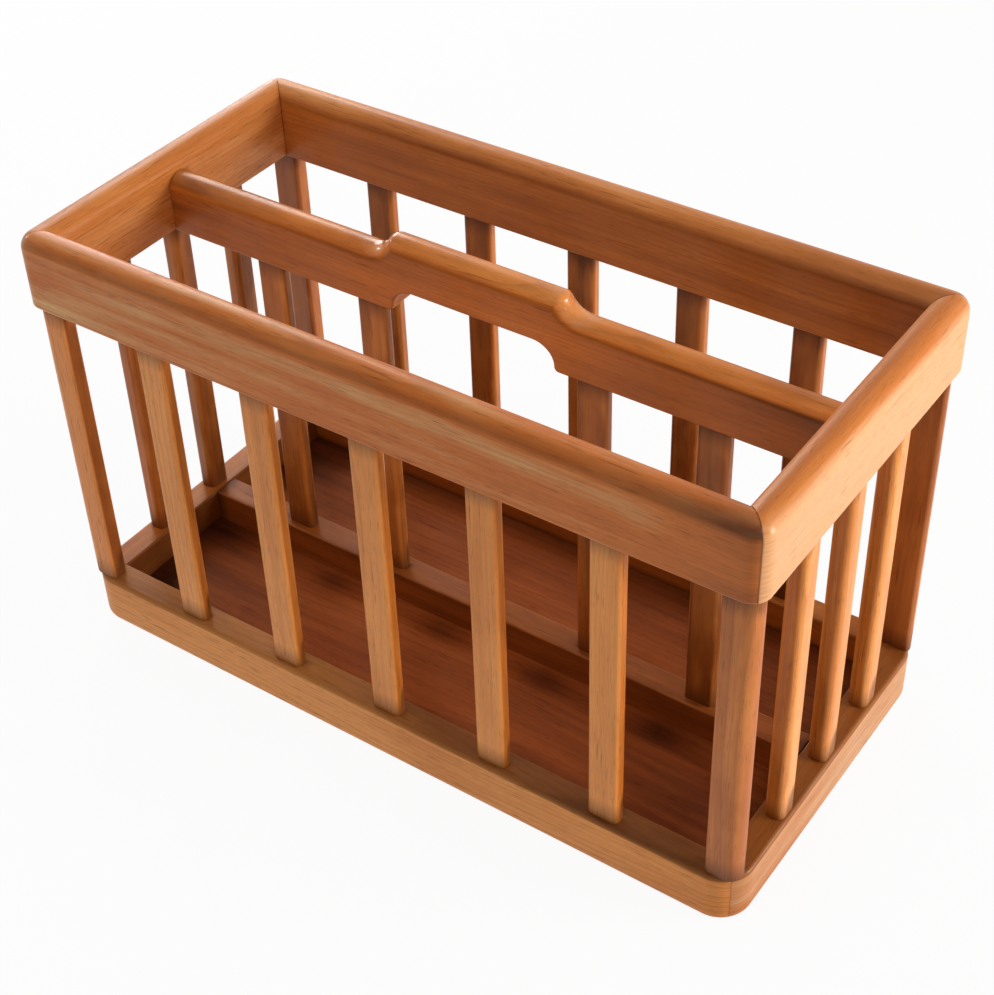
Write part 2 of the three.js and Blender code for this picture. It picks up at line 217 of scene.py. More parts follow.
def oiled_hardwood(name, pale, warm, late, ring_pitch=RING_PITCH, dull=0.0):
    """Teak-like wood. Each board's own grain coordinates, along and twice across it in metres from
    the heart of its tree, are in the attribute grain. Its tone, worn edges and darkened glued joints
    are attributes too; the darkening also stands for painted shade, and the tone holds painted light
    and shade as well. A tone of 0 is warm wood, 1 is pale, -1 is deep and -2 nearly black. Dull wood
    has lost its oil."""
    material = bpy.data.materials.new(name)
    wood = emptied_graph(material)
    pale, warm, late = [(*colour, 1) for colour in (pale, warm, late)]
    place = wood.attribute("grain", "Vector")
    tone = wood.attribute("tone")
    worn = wood.attribute("worn")
    joint = wood.attribute("joint")

    # Growth rings about the heart, which sways slowly along the tree
    sway = wood.noise(place, (2.6, 11, 11), detail=1, output="Color")
    ripple = wood.noise(place, (9, 70, 70), detail=2, output="Color")
    swayed = wood.vector("MULTIPLY_ADD", sway, HEART_SWAY, place)
    rippled = wood.vector("MULTIPLY_ADD", ripple, HEART_RIPPLE, swayed)
    across = wood.vector("MULTIPLY", rippled, TREE_TAPER)
    count = wood.vector("LENGTH", across, output="Value") / ring_pitch
    ring = wood.maths("FRACT", count)
    year = wood.maths("FLOOR", count)
    good_year = wood.add("ShaderNodeTexWhiteNoise", {"noise_dimensions": "1D"}, {"W": year},
                         "Value")
    late_stops = [
        (0.0, (0.1, 0.1, 0.1, 1)),
        (0.5, (0.16, 0.16, 0.16, 1)),
        (0.82, (0.7, 0.7, 0.7, 1)),
        (0.93, (1, 1, 1, 1)),
        (1.0, (0.25, 0.25, 0.25, 1)),
    ]
    latewood = wood.add("ShaderNodeValToRGB", {"stops": late_stops}, {"Fac": ring}, "Color")
    rings = latewood * (0.3 + 0.7 * good_year)

    # Fibres, broader streaks, slow clouds of colour, and the long open pores of the early wood
    fibre = wood.noise(place, (16, 620, 620), detail=3, roughness=0.62)
    streak = wood.noise(place, (4.5, 120, 120), detail=2, roughness=0.55)
    cloud = wood.noise(place, (3, 17, 17), detail=1)
    patch = wood.noise(place, (13, 48, 48), detail=2)
    pore = wood.noise(place, (105, 2300, 2300), detail=1).between(0.6, 0.7) * (1 - 0.7 * ring)
    dash = wood.noise(place, (42, 900, 900), detail=1).between(0.66, 0.76)

    paler = tone + 1.6 * (streak - 0.5) + 1.3 * (cloud - 0.5)
    paler = paler + 1.2 * (patch - 0.5) + 0.5 * (fibre - 0.5)
    deep = [dark + 0.35 * (light - dark) for dark, light in zip(late, warm)]
    nearly_black, pore_brown, grime_and_shade_brown = [
        [share * dark for dark in late[:3]] + [1] for share in (0.45, 0.5, 0.35)
    ]
    tone_stops = [(0.0, nearly_black), (0.3, deep), (0.66, warm), (0.95, pale)]
    body = wood.add("ShaderNodeValToRGB", {"stops": tone_stops}, {"Fac": (paler + 2) / 3}, "Color")
    ringed = wood.blend(rings * (0.12 + 0.45 * cloud), body, late)
    pored = wood.blend(pore * 0.5 + dash * 0.45, ringed, pore_brown)
    # Worn places are paler; where worn is raised at the divider's shoulders and the top corners, the
    # paler colour is also a painted highlight.
    rub = wood.noise(place, (30, 90, 90), detail=2).between(0.35, 0.65)
    smear = wood.noise(place, (14, 42, 42), detail=2)
    rubbed_and_highlit = wood.blend(worn * rub * 0.35, pored, pale)
    # The darkening at glued joints also stands for painted shade: contact shade where the uprights meet
    # the rails, shade on the base rails' tops and inner faces, and shade along the floor's edges.
    grime_and_shade_share = joint * (0.55 + 0.35 * smear)
    colour = wood.blend(grime_and_shade_share, rubbed_and_highlit, grime_and_shade_brown)

    roughness = 0.33 + 0.1 * dull + 0.12 * smear + 0.1 * fibre
    roughness = roughness + 0.16 * pore - 0.12 * worn + 0.15 * joint
    height = 0.35 * rings + 0.25 * fibre - 0.9 * pore - 0.8 * dash
    relief = {"Strength": 0.5, "Distance": PORE_DEPTH, "Height": height}
    bump = wood.add("ShaderNodeBump", None, relief, "Normal")
    inputs = {
        "Base Color": colour,
        "Roughness": roughness,
        "Normal": bump,
        "IOR": OIL_IOR,
        "Specular IOR Level": 0.38 - 0.24 * dull,
        "Specular Tint": OIL_TINT,
        "Coat Weight": 0.12 * (1 - dull) + 0.5 * worn.between(0.9, MOST_WORN),
        "Coat Roughness": 0.2,
    }
    surface = wood.add("ShaderNodeBsdfPrincipled", None, inputs, "BSDF")
    wood.add("ShaderNodeOutputMaterial", None, {"Surface": surface})
    return material


def arc(centre_u, centre_z, radius, start, end, steps, worn):
    """Points of a rounding in a rail's section, each with its share of wear."""
    points = []
    for step in range(steps + 1):
        angle = math.radians(start + (end - start) * step / steps)
        u = centre_u + radius * math.cos(angle)
        z = centre_z + radius * math.sin(angle)
        points.append((u, z, worn * math.sin(math.pi * step / steps)))
    return points


def level(start, end, steps):
    """Points on a flat of a section, without its two ends."""
    points = []
    for step in range(1, steps):
        share = step / steps
        u = start[0] + (end[0] - start[0]) * share
        z = start[1] + (end[1] - start[1]) * share
        points.append((u, z, 0.0))
    return points


def closed_section(roundings):
    """The roundings of a section in turn, joined by flats."""
    points = []
    for index, rounding in enumerate(roundings):
        points += rounding
        following = roundings[(index + 1) % len(roundings)]
        points += level(rounding[-1], following[0], FLAT_STEPS)
    return points


def board_place(seed):
    """Where in its tree a board was cut: how far up, and how far from the heart each way across."""
    draw = random.Random(seed)
    angle = draw.uniform(0, 2 * math.pi)
    distance = draw.uniform(*HEART_DISTANCE)
    return Vector((draw.uniform(-1, 1), distance * math.cos(angle), distance * math.sin(angle)))


def tone_at(tones, share):
    """A board's tone at a share of its length, from its tones at even steps along it."""
    step = min(max(share, 0), 0.999) * (len(tones) - 1)
    first = int(step)
    return tones[first] + (tones[first + 1] - tones[first]) * (step - first)


# A vertex of a piece: its place and its attributes
Point = namedtuple("Point", "place grain tone worn joint")


def add_to_scene(name, data):
    """A new object of the scene, with its data."""
    thing = bpy.data.objects.new(name, data)
    bpy.context.scene.collection.objects.link(thing)
    return thing


def grid_mesh(name, columns):
    """A closed skin over columns of points."""
    rows = len(columns[0])
    mesh = bpy.data.meshes.new(name)
    faces = []
    for column in range(len(columns) - 1):
        for row in range(rows):
            following = (row + 1) % rows
            first = column * rows
            second = first + rows
            faces.append((first + row, first + following, second + following, second + row))
    faces.append(tuple(range(rows)))
    last = (len(columns) - 1) * rows
    faces.append(tuple(last + row for row in reversed(range(rows))))
    points = [point for column in columns for point in column]
    mesh.from_pydata([point.place for point in points], [], faces)
    grain = mesh.attributes.new("grain", "FLOAT_VECTOR", "POINT")
    for at, point in zip(grain.data, points):
        at.vector = point.grain
    for key in ("tone", "worn", "joint"):
        values = mesh.attributes.new(key, "FLOAT", "POINT")
        for at, point in zip(values.data, points):
            at.value = getattr(point, key)
    shell = bmesh.new()
    shell.from_mesh(mesh)
    bmesh.ops.remove_doubles(shell, verts=shell.verts, dist=MERGE_DISTANCE)
    bmesh.ops.recalc_face_normals(shell, faces=shell.faces)
    shell.to_mesh(mesh)
    shell.free()
    return add_to_scene(name, mesh)


def wear_down(piece, depth, size=(45 * MM, 16 * MM, 16 * MM)):
    """Sands a piece a little unevenly, inwards only, with hollows of that size along its grain."""
    mesh = piece.data
    normals = [vertex.normal.copy() for vertex in mesh.vertices]
    grain = mesh.attributes["grain"].data
    for vertex, normal, at in zip(mesh.vertices, normals, grain):
        where = Vector((at.vector[0] / size[0], at.vector[1] / size[1], at.vector[2] / size[2]))
        vertex.co -= normal * depth * (0.5 + 0.5 * noise.noise(where))


def settle(piece):
    """Makes what a piece's modifiers show its plain mesh."""
    graph = bpy.context.evaluated_depsgraph_get()
    evaluated = piece.evaluated_get(graph)
    shown = bpy.data.meshes.new_from_object(evaluated, preserve_all_data_layers=True,
                                            depsgraph=graph)
    piece.modifiers.clear()
    before = piece.data
    piece.data = shown
    bpy.data.meshes.remove(before)


def joinery(piece, boxes, operation, turn=0.0):
    """Cuts box-shaped sockets into a piece, or adds tenons to it. A box is its two corners. The new
    edges carry on the grain of the wood next to them and are darkened: glue has gone into them, and
    round the feet of the uprights the darkening is also painted contact shade."""
    before = piece.data
    known = kdtree.KDTree(len(before.vertices))
    for vertex in before.vertices:
        known.insert(vertex.co, vertex.index)
    known.balance()
    grains = [at.vector.copy() for at in before.attributes["grain"].data]
    tones = [at.value for at in before.attributes["tone"].data]
    tool = bmesh.new()
    for low, high in boxes:
        low, high = Vector(low), Vector(high)
        size = Matrix.Diagonal((*(high - low), 1))
        bmesh.ops.create_cube(tool, size=1, matrix=Matrix.Translation((low + high) / 2) @ size)
    mesh = bpy.data.meshes.new("joinery")
    tool.to_mesh(mesh)
    tool.free()
    cutter = add_to_scene("joinery", mesh)
    modifier = piece.modifiers.new("joinery", "BOOLEAN")
    modifier.operation = operation
    modifier.solver = "EXACT"
    modifier.object = cutter
    settle(piece)
    bpy.data.objects.remove(cutter)
    bpy.data.meshes.remove(mesh)
    unspin = Matrix.Rotation(-turn, 3, "Z")
    values = piece.data.attributes
    for index, vertex in enumerate(piece.data.vertices):
        place, nearest, gap = known.find(vertex.co)
        if gap > MERGE_DISTANCE / 2:
            values["grain"].data[index].vector = grains[nearest] + unspin @ (vertex.co - place)
            values["tone"].data[index].value = tones[nearest]
            values["joint"].data[index].value = 1.0


def shade(piece, material):
    """Gives a piece its material, smooth roundings, true flats and crisp edges."""
    mesh = piece.data
    mesh.materials.clear()
    mesh.materials.append(material)
    mesh.shade_smooth()
    mesh.set_sharp_from_angle(angle=SHARP_ANGLE)
    modifier = piece.modifiers.new("true_flats", "WEIGHTED_NORMAL")
    modifier.keep_sharp = True
    settle(piece)


# Which way a rail of each side is turned
SIDES = {"front": 0, "right": math.pi / 2, "back": math.pi, "left": -math.pi / 2}


def mitred_rail(name, side, half_length, half_width, section, plan_radius, seed, tones,
                tone_shift=lambda z: 0.0, dirt=lambda u, z, share: 0.0, seam=0.1, corner_wear_and_highlight=0.0):
    """The rail on one side of a frame, from half of the frame's outer sizes. plan_radius gives the
    outer corner's radius at a depth from the outer face. Its tones run from left to right, seen
    from outside. tone_shift is how much paler it is at a height, as painted light and shade,
    dirt how much painted shade darkens it at a depth, a height and a share of its length,
    seam how dark the glue line is, and corner_wear_and_highlight how much more the corners are worn,
    which also pales them as a painted highlight."""
    board = board_place(seed)
    spin = Matrix.Rotation(SIDES[side], 3, "Z")
    run, across = half_length, half_width
    if side in ("right", "left"):
        run, across = across, run
    straight = max(2, round(2 * run / STATION_SPACING))
    shares = [-1 + 2 * step / straight for step in range(1, straight)]
    close = [1 - x / run for x in NEAR_MITRE]
    shares = [-share for share in close] + shares + close[::-1]

    def vertex(x, y, u, z, worn, joint):
        place = spin @ Vector((x, y, z))
        grain = Vector((x, u, z)) + board
        tone = tone_at(tones, 0.5 + 0.5 * x / run) + tone_shift(z)
        near_end = max(0.0, 1 - (run - abs(x)) / CORNER_WORN_LENGTH)
        worn = min(MOST_WORN, worn * (1 + corner_wear_and_highlight * near_end))
        return Point(place, grain, tone, worn, joint)

    sides = []
    for u, z, worn in section:
        radius = plan_radius(u)
        centre_x = run - u - radius
        centre_y = -across + u + radius
        diagonal = radius * math.sqrt(0.5)
        shrink = 1 - (MITRE_GAP + MITRE_RELIEF) / (centre_x + diagonal)
        right = []
        for step in range(CORNER_STEPS + 1):
            tilt = math.radians(-90 + 45 * step / CORNER_STEPS)
            x = centre_x + radius * math.cos(tilt)
            right.append((x * shrink, centre_y + radius * math.sin(tilt)))
        left = [(-x, y) for x, y in reversed(right)]
        middle = [(share * centre_x * shrink, -across + u) for share in shares]
        line = left + middle + right
        last = len(line) - 1
        sides.append([])
        for index, (x, y) in enumerate(line):
            joint = seam if index in (0, last) else dirt(u, z, 0.5 + 0.5 * x / run)
            sides[-1].append(vertex(x, y, u, z, worn, joint))
    columns = [list(column) for column in zip(*sides)]

    def relief(column, hand):
        """The glued face of a mitre, a little smaller than the section, with a hairline open."""
        middle = sum((point.place for point in column), Vector()) / len(column)
        shift = spin @ Vector((hand * MITRE_RELIEF, 0, 0))
        ring = []
        for point in column:
            inwards = (middle - point.place).normalized() * MITRE_RELIEF
            ring.append(point._replace(place=point.place + inwards + shift))
        return ring

    rail = grid_mesh(name, [relief(columns[0], -1)] + columns + [relief(columns[-1], 1)])
    wear_down(rail, RAIL_UNEVENNESS)
    return rail


BASE_SEED = 11
# The tone of each base rail and the painted shade on its top, both from left to right seen from
# outside, and the painted shade on its inner face
BASE_TONES = {
    "front": (0.85, 1.0, 1.25, 0.9, 0.4, 0.5, 0.35, 0.0),
    "right": (0.4, 0.45, 0.4),
    "back": (-0.4, -0.4),
    "left": (-0.7, -0.7),
}
BASE_TOP_PAINTED_SHADE = {
    "front": (0.85, 0.85, 0.75, 0.85, 1.05, 1.1, 1.15, 1.25),
    "right": (0.62, 0.62),
    "back": (0.5, 0.5),
    "left": (0.1, 0.1),
}
BASE_INNER_PAINTED_SHADE = {"front": 0.4, "right": 0.4, "back": 0.2, "left": 0.9}
PAINTED_SHADE_FADE = 0.35
# How much deeper the top of the right end's rail is than its face: painted shade beside its lit face
BASE_TOP_SHADE_TONES = {"front": 0.0, "right": -0.9, "back": 0.0, "left": 0.0}

inner_u = base_thickness - BASE_INNER_ARRIS
base_section = closed_section([
    arc(BASE_FOOT_ROUNDING, BASE_FOOT_ROUNDING, BASE_FOOT_ROUNDING, 270, 180, 8, 0.6),
    arc(BASE_TOP_ARRIS, base_height - BASE_TOP_ARRIS, BASE_TOP_ARRIS, 180, 90, 7, 1.0),
    arc(inner_u, base_height - BASE_INNER_ARRIS, BASE_INNER_ARRIS, 90, 0, 5, 0.4),
    arc(inner_u, BASE_INNER_ARRIS, BASE_INNER_ARRIS, 0, -90, 4, 0.5),
])


def corner_radius(radius, hold, free):
    """Plan radius of an outer corner by depth: round down to hold, and square from free on."""
    def at(depth):
        if depth <= hold:
            return radius - depth
        return (radius - hold) * max(0.0, (free - depth) / (free - hold))
    return at


def base_dirt(side):
    """Painted shade on a base rail's top, thinner down its eased edges, and on its inner face."""
    def at(depth, height, share):
        inner = depth > inner_u
        arris = BASE_INNER_ARRIS if inner else BASE_TOP_ARRIS
        rise = max(0.0, 1 - (base_height - height) / arris)
        top_shade = tone_at(BASE_TOP_PAINTED_SHADE[side], share) * rise ** PAINTED_SHADE_FADE
        return max(top_shade, BASE_INNER_PAINTED_SHADE[side]) if inner else top_shade
    return at


def base_top_shading(side):
    """How much paler a base rail is at a height: the right end's top is darker, a painted shade."""
    return lambda z: BASE_TOP_SHADE_TONES[side] if z > base_height - BASE_TOP_ARRIS else 0.0


rail_wood = oiled_hardwood("rail_wood", (0.8, 0.335, 0.1), (0.59, 0.18, 0.031),
                           (0.18, 0.035, 0.005))
# The right end's base rail takes a paler, yellower copy of the wood: painted light where the window
# falls.
end_wood = oiled_hardwood("end_wood", (0.6, 0.31, 0.14), (0.47, 0.14, 0.02), (0.2, 0.05, 0.01),
                          dull=0.4)
base_wood = oiled_hardwood("base_wood", (0.82, 0.32, 0.08), (0.6, 0.18, 0.026),
                           (0.17, 0.038, 0.007), dull=0.4)
corner = corner_radius(BASE_CORNER_RADIUS, BASE_FOOT_ROUNDING, inner_u)
base_rails = {}
for number, side in enumerate(SIDES):
    base_rails[side] = mitred_rail(
        f"base_rail_{side}_wood", side, base_half_length, base_half_width, base_section, corner,
        BASE_SEED + number, BASE_TONES[side], tone_shift=base_top_shading(side), dirt=base_dirt(side),
    )


# Floor. One thin panel lies loose in the groove, its grain along the basket. It is the darkest
# wood, because the oil has soaked in. Painted shade darkens its ends, its edges and the corners at
# its left end, and painted shadows of the slats lie along the sill.

FLOOR_SHEET_STEP = 5 * MM
FLOOR_UNEVENNESS = 0.12 * MM
FLOOR_HOLLOWS = (120 * MM, 40 * MM, 40 * MM)
# The floor's tones from left to right, darker at both ends as painted shade
FLOOR_TONES = (-0.9, -0.3, 0.2, 0.2, 0.1, -0.2, -0.5, -0.6)
FLOOR_EDGE_SHADE = 26 * MM
FLOOR_RING_PITCH = 4.6 * MM
FLOOR_SEED = 31
# Darker places on the floor: the first four are painted shadows of the slats along the sill, the
# next three painted shade at the left end, and the last two darker patches in the wood. Each is its
# x and y, its half length and half width in millimetres, and its depth of tone
FLOOR_DARK_PATCHES = [
    (-104, -17, 15, 9, 1.3),
    (-26, -17, 15, 9, 1.3),
    (47, -17, 15, 9, 1.3),
    (122, -17, 16, 9, 1.3),
    (-190, -72, 16, 20, 1.5),
    (-190, -18, 20, 10, 1.2),
    (-186, 70, 22, 22, 1.0),
    (60, 60, 40, 12, 0.4),
    (150, -60, 40, 14, 0.5),
]

floor_low, floor_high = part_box("floor_panel")


def panel(name, low, high, step, seed, tones, dark_patches, shaded_edge):
    """A flat board with a grid over it, so that it can be a little uneven. Its tones run from left
    to right, painted shade lies along its edges in a strip of the width shaded_edge, and each of
    dark_patches is a darker place: its x and y, its half length and half width, and its depth of
    tone."""
    board = board_place(seed)
    along = max(2, round((high.x - low.x) / step))
    rows = max(2, round((high.y - low.y) / step))
    columns = []
    for i in range(along + 1):
        x = low.x + (high.x - low.x) * i / along
        top = [(low.y + (high.y - low.y) * j / rows, high.z) for j in range(rows + 1)]
        bottom = [(y, low.z) for y, _ in reversed(top)]
        tone = tone_at(tones, i / along)
        column = []
        for y, z in top + bottom:
            inside = min(x - low.x, high.x - x, y - low.y, high.y - y) / shaded_edge
            dark_patch = sum(depth * math.exp(-((x - patch_x) / long) ** 2 - ((y - patch_y) / wide) ** 2)
                       for patch_x, patch_y, long, wide, depth in dark_patches)
            place = Vector((x, y, z))
            column.append(Point(place, place + board, tone - dark_patch, 0.0, max(0.0, 1 - inside)))
        columns.append(column)
    return grid_mesh(name, columns)


floor_wood = oiled_hardwood("floor_wood", (0.44, 0.112, 0.026), (0.3, 0.07, 0.015),
                            (0.07, 0.014, 0.004), ring_pitch=FLOOR_RING_PITCH, dull=1.0)
dark_patches = [tuple(MM * size for size in dark_patch[:4]) + dark_patch[4:] for dark_patch in FLOOR_DARK_PATCHES]
floor = panel("floor_panel_wood", floor_low, floor_high, FLOOR_SHEET_STEP, FLOOR_SEED, FLOOR_TONES,
              dark_patches, FLOOR_EDGE_SHADE)
wear_down(floor, FLOOR_UNEVENNESS, FLOOR_HOLLOWS)
shade(floor, floor_wood)
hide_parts("floor_panel")
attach(floor, "root")

groove_x = base_half_length - base_thickness + GROOVE_DEPTH
groove_y = base_half_width - base_thickness + GROOVE_DEPTH
groove = ((-groove_x, -groove_y, floor_low.z), (groove_x, groove_y, floor_high.z + JOINT_GAP))
for side, rail in base_rails.items():
    joinery(rail, [groove], "DIFFERENCE", SIDES[side])


# Divider sill. A square bar stands on the floor down the middle and carries the divider's slats. A
# stub tenon at each end is let into the end rails of the base.

SILL_ARRIS = 1.2 * MM
SILL_TENON_HEIGHT = 6 * MM
SILL_TENON_THICKNESS = 8 * MM
SILL_TENON_RISE = 2.6 * MM
SHOULDER_ARRIS = 0.2 * MM
SILL_TONE = -1.0
SILL_SEED = 41

sill_low, sill_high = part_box("divider_sill")
sill_reach = base_half_length - base_thickness - JOINT_GAP


def bar(name, section, reach, seed, tone, unevenness):
    """A bar along X, swept from a section whose points are across and up, with eased ends."""
    board = board_place(seed)
    steps = max(2, round(2 * reach / STATION_SPACING))
    places = [-reach, -reach + SHOULDER_ARRIS]
    places += [-reach + 2 * reach * step / steps for step in range(1, steps)]
    places += [reach - SHOULDER_ARRIS, reach]
    middle_y = sum(point[0] for point in section) / len(section)
    middle_z = sum(point[1] for point in section) / len(section)
    columns = []
    last = len(places) - 1
    for index, x in enumerate(places):
        column = []
        for y, z, worn in section:
            flat = Vector((x, y, z))
            place = flat.copy()
            if index in (0, last):
                place += (Vector((x, middle_y, middle_z)) - place).normalized() * SHOULDER_ARRIS
            glued = index in (0, 1, last - 1, last)
            column.append(Point(place, flat + board, tone, worn, float(glued)))
        columns.append(column)
    piece = grid_mesh(name, columns)
    wear_down(piece, unevenness)
    return piece


def end_tenon(low, high, rise, height, thickness):
    """The box of the stub tenons at both ends of a board between the end rails."""
    foot = low.z + rise
    return (low.x, -thickness / 2, foot), (high.x, thickness / 2, foot + height)


sill_section = closed_section([
    arc(sill_high.y - SILL_ARRIS, sill_high.z - SILL_ARRIS, SILL_ARRIS, 0, 90, 5, 1.0),
    arc(sill_low.y + SILL_ARRIS, sill_high.z - SILL_ARRIS, SILL_ARRIS, 90, 180, 5, 1.0),
    [(sill_low.y, sill_low.z, 0.0)],
    [(sill_high.y, sill_low.z, 0.0)],
])
sill = bar("divider_sill_wood", sill_section, sill_reach, SILL_SEED, SILL_TONE, RAIL_UNEVENNESS)
sill_tenon = end_tenon(sill_low, sill_high, SILL_TENON_RISE, SILL_TENON_HEIGHT,
                       SILL_TENON_THICKNESS)
joinery(sill, [sill_tenon], "UNION")


def cut_sockets(piece, tenons, turn=0.0):
    """Cuts a socket, with room all round, for each of the tenons that reach into a piece."""
    places = [vertex.co for vertex in piece.data.vertices]
    low = [min(place[axis] for place in places) for axis in range(3)]
    high = [max(place[axis] for place in places) for axis in range(3)]
    room = Vector((JOINT_GAP, JOINT_GAP, JOINT_GAP))
    sockets = [(Vector(start) - room, Vector(end) + room) for start, end in tenons
               if all(start[axis] < high[axis] and end[axis] > low[axis] for axis in range(3))]
    joinery(piece, sockets, "DIFFERENCE", turn)


for side in ("left", "right"):
    cut_sockets(base_rails[side], [sill_tenon], SIDES[side])


# Uprights. Flat slats on the long sides, narrower and thicker ones at the ends, and a stouter post
# by each corner with a big rounding outwards. Each is planed from a strip of its own, eased along
# its edges, and tenoned into the rails below and above.

SLAT_ARRIS = 3 * MM
END_SLAT_ARRIS = 4 * MM
POST_ARRIS = 2.4 * MM
POST_OUTER_ROUNDING = 8 * MM
TENON_SHOULDER = 2 * MM
POST_OUTER_SHOULDER = 6.5 * MM
POST_FACE_SHOULDER = 2.85 * MM
UPRIGHT_UNEVENNESS = 0.1 * MM
SIDE_SHARPNESS = 8
HOLLOWS_PER_METRE = (90, 90, 22)
LEAST_HEART = (-1, -0.09, -0.09)
MOST_HEART = (1, 0.09, 0.09)
TONE_SPREAD = 0.12
POST_SEED = 20
UPRIGHT_CONTACT_SHADE = 4 * MM
UPRIGHT_RINGS = 28
EDGE_STEPS = 9
UPRIGHT_INPUTS = {
    "NodeSocketInt": ("Count", "Outer Corner", "Seed"),
    "NodeSocketVector": ("First", "Step", "Size", "Tenon Size", "Tenon Place"),
    "NodeSocketFloat": ("Arris", "Outer Rounding", "Unevenness", "Tone", "Side Light And Shade"),
    "NodeSocketMaterial": ("Wood",),
}

top_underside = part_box("top_rail_front")[0].z


def upright_tree():
    """Stands a row of uprights. An upright is a rounded section swept upwards, with a tenon through
    it, and each copy in the row gets its own place in the tree that it was cut from."""
    tree = bpy.data.node_groups.new("uprights", "GeometryNodeTree")
    tree.interface.new_socket("Geometry", in_out="OUTPUT", socket_type="NodeSocketGeometry")
    tree.interface.new_socket("Geometry", in_out="INPUT", socket_type="NodeSocketGeometry")
    for kind, names in UPRIGHT_INPUTS.items():
        for name in names:
            tree.interface.new_socket(name, in_out="INPUT", socket_type=kind)
    graph = Graph(tree)
    group = tree.nodes.new("NodeGroupInput")
    given = {socket.name: Signal(graph, socket) for socket in group.outputs if socket.name}
    width, depth, length = graph.parts(given["Size"])

    index = graph.add("GeometryNodeInputIndex")
    is_outer = graph.equals(index, given["Outer Corner"])
    rounding = given["Arris"] + is_outer * (given["Outer Rounding"] - given["Arris"])
    outline = graph.add("GeometryNodeCurvePrimitiveQuadrilateral", {"mode": "RECTANGLE"},
                        {"Width": width, "Height": depth})
    outline = graph.add("GeometryNodeFilletCurve", {"mode": "POLY"},
                        {"Curve": outline, "Count": EDGE_STEPS, "Radius": rounding,
                         "Limit Radius": True})

    top = graph.add("ShaderNodeCombineXYZ", None, {"Z": length})
    line = graph.add("GeometryNodeCurvePrimitiveLine", None, {"Start": (0, 0, 0), "End": top})
    line = graph.add("GeometryNodeResampleCurve", {"mode": "COUNT"},
                     {"Curve": line, "Count": UPRIGHT_RINGS})
    spacing = length / (UPRIGHT_RINGS - 1)
    by_end = graph.equals(index, 1) - graph.equals(index, UPRIGHT_RINGS - 2)
    nudge = graph.add("ShaderNodeCombineXYZ", None, {"Z": by_end * (SHOULDER_ARRIS - spacing)})
    line = graph.add("GeometryNodeSetPosition", None, {"Geometry": line, "Offset": nudge})
    at_end = graph.equals(index, 0) + graph.equals(index, UPRIGHT_RINGS - 1)
    scale = 1 - at_end * (2 * SHOULDER_ARRIS) / width
    shaft = graph.add("GeometryNodeCurveToMesh", None,
                      {"Curve": line, "Profile Curve": outline, "Scale": scale, "Fill Caps": True})

    x, y, z = graph.parts(graph.add("GeometryNodeInputPosition"))

    def edge(value, size):
        far = graph.maths("ABSOLUTE", value)
        share = (far - (size / 2 - given["Arris"])) / given["Arris"]
        return graph.add("ShaderNodeClamp", None, {"Value": share})

    worn = graph.add("ShaderNodeClamp", None, {"Value": 2 * edge(x, width) * edge(y, depth)})
    shaft = graph.store(shaft, "worn", worn)
    # An upright is darker near its ends: painted contact shade where it stands in the rails.
    to_end = graph.maths("MINIMUM", z, length - z)
    shaft = graph.store(shaft, "joint", 1 - to_end.between(0, UPRIGHT_CONTACT_SHADE))
    core = graph.add("GeometryNodeMeshCube", None, {"Size": given["Tenon Size"]})
    core = graph.add("GeometryNodeTransform", None,
                     {"Geometry": core, "Translation": given["Tenon Place"]})
    upright = graph.add("GeometryNodeMeshBoolean", {"operation": "UNION", "solver": "EXACT"},
                        {"Mesh 2": shaft})
    graph.feed(upright.socket.node.inputs["Mesh 2"], core)

    points = graph.add("GeometryNodeMeshLine", {"mode": "OFFSET"},
                       {"Count": given["Count"], "Start Location": given["First"],
                        "Offset": given["Step"]})
    row = graph.add("GeometryNodeInstanceOnPoints", None, {"Points": points, "Instance": upright})
    heart = graph.add("FunctionNodeRandomValue", {"data_type": "FLOAT_VECTOR"},
                      {"Min": LEAST_HEART, "Max": MOST_HEART, "Seed": given["Seed"]})
    tone = graph.add("FunctionNodeRandomValue", {"data_type": "FLOAT"},
                     {"Min_001": -TONE_SPREAD, "Max_001": TONE_SPREAD, "Seed": given["Seed"]},
                     "Value_001")
    row = graph.store(row, "board", heart, "FLOAT_VECTOR", "INSTANCE")
    row = graph.store(row, "tone", tone + given["Tone"], domain="INSTANCE")
    row = graph.add("GeometryNodeRealizeInstances", None, {"Geometry": row})

    board = graph.add("GeometryNodeInputNamedAttribute", {"data_type": "FLOAT_VECTOR"},
                      {"Name": "board"})
    stood = graph.add("GeometryNodeInputPosition")
    across, away, up = graph.parts(stood)
    lying = graph.add("ShaderNodeCombineXYZ", None, {"X": up, "Y": across, "Z": away})
    grain = graph.vector("ADD", lying, board)
    row = graph.store(row, "grain", grain, "FLOAT_VECTOR")
    hollow = graph.noise(graph.vector("ADD", stood, board), HOLLOWS_PER_METRE, detail=1)
    # Sides that face along the row take the side light and shade on top of their tone: painted light
    # where it is above 0, painted shade below.
    normal = graph.add("GeometryNodeInputNormal")
    along = graph.vector("NORMALIZE", given["Step"])
    facing = graph.vector("DOT_PRODUCT", normal, along, output="Value")
    sideways = graph.maths("ABSOLUTE", facing) ** SIDE_SHARPNESS
    plain_tone = graph.add("GeometryNodeInputNamedAttribute", {"data_type": "FLOAT"},
                           {"Name": "tone"})
    row = graph.store(row, "tone", plain_tone + sideways * given["Side Light And Shade"])
    sanded = graph.add("ShaderNodeVectorMath", {"operation": "SCALE"},
                       {0: normal, "Scale": -1 * hollow * given["Unevenness"]})
    row = graph.add("GeometryNodeSetPosition", None, {"Geometry": row, "Offset": sanded})
    row = graph.add("GeometryNodeSetMaterial", None, {"Geometry": row, "Material": given["Wood"]})
    graph.add("NodeGroupOutput", None, {0: row})
    return tree


upright_nodes = upright_tree()


